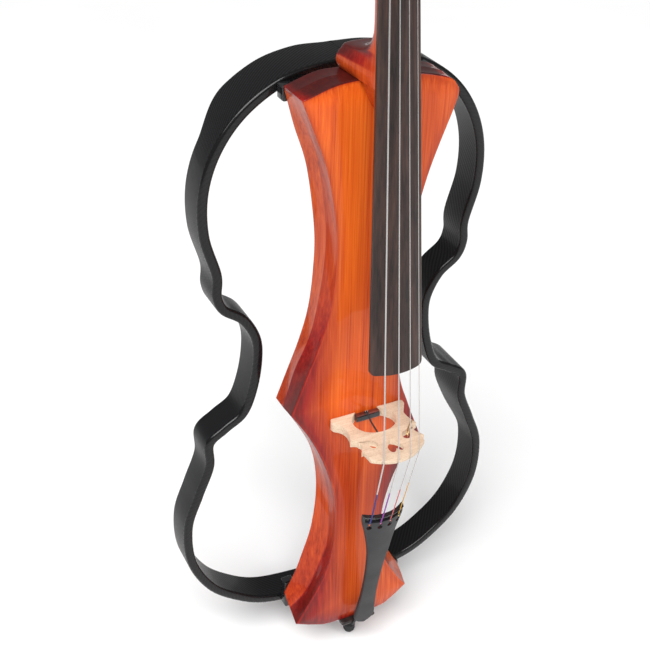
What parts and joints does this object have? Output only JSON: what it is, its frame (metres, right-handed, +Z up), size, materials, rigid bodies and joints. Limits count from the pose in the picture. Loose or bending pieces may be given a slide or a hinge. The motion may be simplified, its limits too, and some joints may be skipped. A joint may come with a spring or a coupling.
{
  "type": "electric cello",
  "caption": "Solid-bodied electric cello: narrow varnished wooden core, open carbon outline frame, strings, pegs, bridge with pickup, sliding endpin and rear controls.",
  "frame": {"origin": "on the endpin axis, at the middle of the body's bottom end where the endpin socket seats", "axes": "+Z up along the body to the scroll, -Y to the front where the strings are, +X to the treble (A string) side"},
  "size_m": [0.4182, 0.2118, 1.245],
  "materials": {
    "varnished_wood": "gloss orange-red varnish over fine straight grain, darker towards the edges",
    "ebony": "satin dark wood with faint streaks",
    "bridge_maple": "bare pale flecked maple",
    "carbon_fibre": "twill weave, satin sides and clear-coated rim",
    "grey_composite": "fine matt dark grey",
    "black_plastic": "moulded black",
    "steel": "drawn and turned bright metal",
    "rubber": "matt",
    "cord": "black cord and lead",
    "circuit_board": "green solder mask"
  },
  "bodies": {
    "root": {"bass_frame": "carbon_fibre", "battery": "steel", "battery_bezel": "black_plastic", "battery_tray": "black_plastic", "body_core": "varnished_wood", "bridge": "bridge_maple", "clamp_screw_lower_bass": "steel", "clamp_screw_lower_treble": "steel", "clamp_screw_upper_bass": "steel", "clamp_screw_upper_treble": "steel", "control_plate": "black_plastic", "endpin_socket": "black_plastic", "fingerboard": "ebony", "frame_clamp_lower_bass": "black_plastic", "frame_clamp_lower_treble": "black_plastic", "frame_clamp_upper_bass": "black_plastic", "frame_clamp_upper_treble": "black_plastic", "frame_splice_bottom": "grey_composite", "frame_splice_top": "grey_composite", "headphone_jack": "steel", "hinge_pin": "steel", "neck": "varnished_wood", "nut": "ebony", "output_jack": "steel", "pickup_bar": "ebony", "pickup_lead": "cord", "plate_screw_1": "steel", "plate_screw_2": "steel", "plate_screw_3": "steel", "plate_screw_4": "steel", "preamp_board": "circuit_board", "saddle": "ebony", "string_a": "steel", "string_c": "steel", "string_d": "steel", "string_g": "steel", "switch_body": "black_plastic", "tail_cord": "cord", "tailpiece": "grey_composite", "tone_pot": "steel", "treble_frame": "carbon_fibre", "volume_pot": "steel"},
    "peg_c": {"peg_c": "ebony", "winding_c": "steel"},
    "peg_a": {"peg_a": "ebony", "winding_a": "steel"},
    "peg_g": {"peg_g": "ebony", "winding_g": "steel"},
    "peg_d": {"peg_d": "ebony", "winding_d": "steel"},
    "endpin": {"endpin_rod": "steel", "endpin_tip": "rubber"},
    "endpin_screw": {"endpin_screw": "steel"},
    "volume_knob": {"volume_knob": "black_plastic"},
    "tone_knob": {"tone_knob": "black_plastic"},
    "mode_switch": {"mode_switch": "steel"},
    "battery_door": {"battery_door": "black_plastic"}
  },
  "joints": [
    {"name": "peg_c_turn", "type": "hinge", "parent": "root", "child": "peg_c", "pos_m": [0, -0.0185, 1.0487], "axis": [-1, 0, 0], "continuous": true},
    {"name": "peg_a_turn", "type": "hinge", "parent": "root", "child": "peg_a", "pos_m": [0, -0.01633, 1.0737], "axis": [1, 0, 0], "continuous": true},
    {"name": "peg_g_turn", "type": "hinge", "parent": "root", "child": "peg_g", "pos_m": [0, -0.01417, 1.0987], "axis": [-1, 0, 0], "continuous": true},
    {"name": "peg_d_turn", "type": "hinge", "parent": "root", "child": "peg_d", "pos_m": [0, -0.012, 1.1237], "axis": [1, 0, 0], "continuous": true},
    {"name": "endpin_slide", "type": "slide", "parent": "root", "child": "endpin", "axis": [0, 0, -1], "range_m": [0, 0.33]},
    {"name": "endpin_screw_turn", "type": "hinge", "parent": "root", "child": "endpin_screw", "pos_m": [0, 0, -0.0145], "axis": [-1, 0, 0], "continuous": true},
    {"name": "volume_turn", "type": "hinge", "parent": "root", "child": "volume_knob", "pos_m": [-0.022, 0.03, 0.322], "axis": [0, 1, 0], "range_deg": [-150, 150]},
    {"name": "tone_turn", "type": "hinge", "parent": "root", "child": "tone_knob", "pos_m": [0.006, 0.03, 0.322], "axis": [0, 1, 0], "range_deg": [-150, 150]},
    {"name": "mode_switch_flip", "type": "hinge", "parent": "root", "child": "mode_switch", "pos_m": [0.028, 0.0195, 0.322], "axis": [1, 0, 0], "range_deg": [-12, 12]},
    {"name": "battery_door_swing", "type": "hinge", "parent": "root", "child": "battery_door", "pos_m": [0, 0.0245, 0.6668], "axis": [1, 0, 0], "range_deg": [0, 100]}
  ]
}
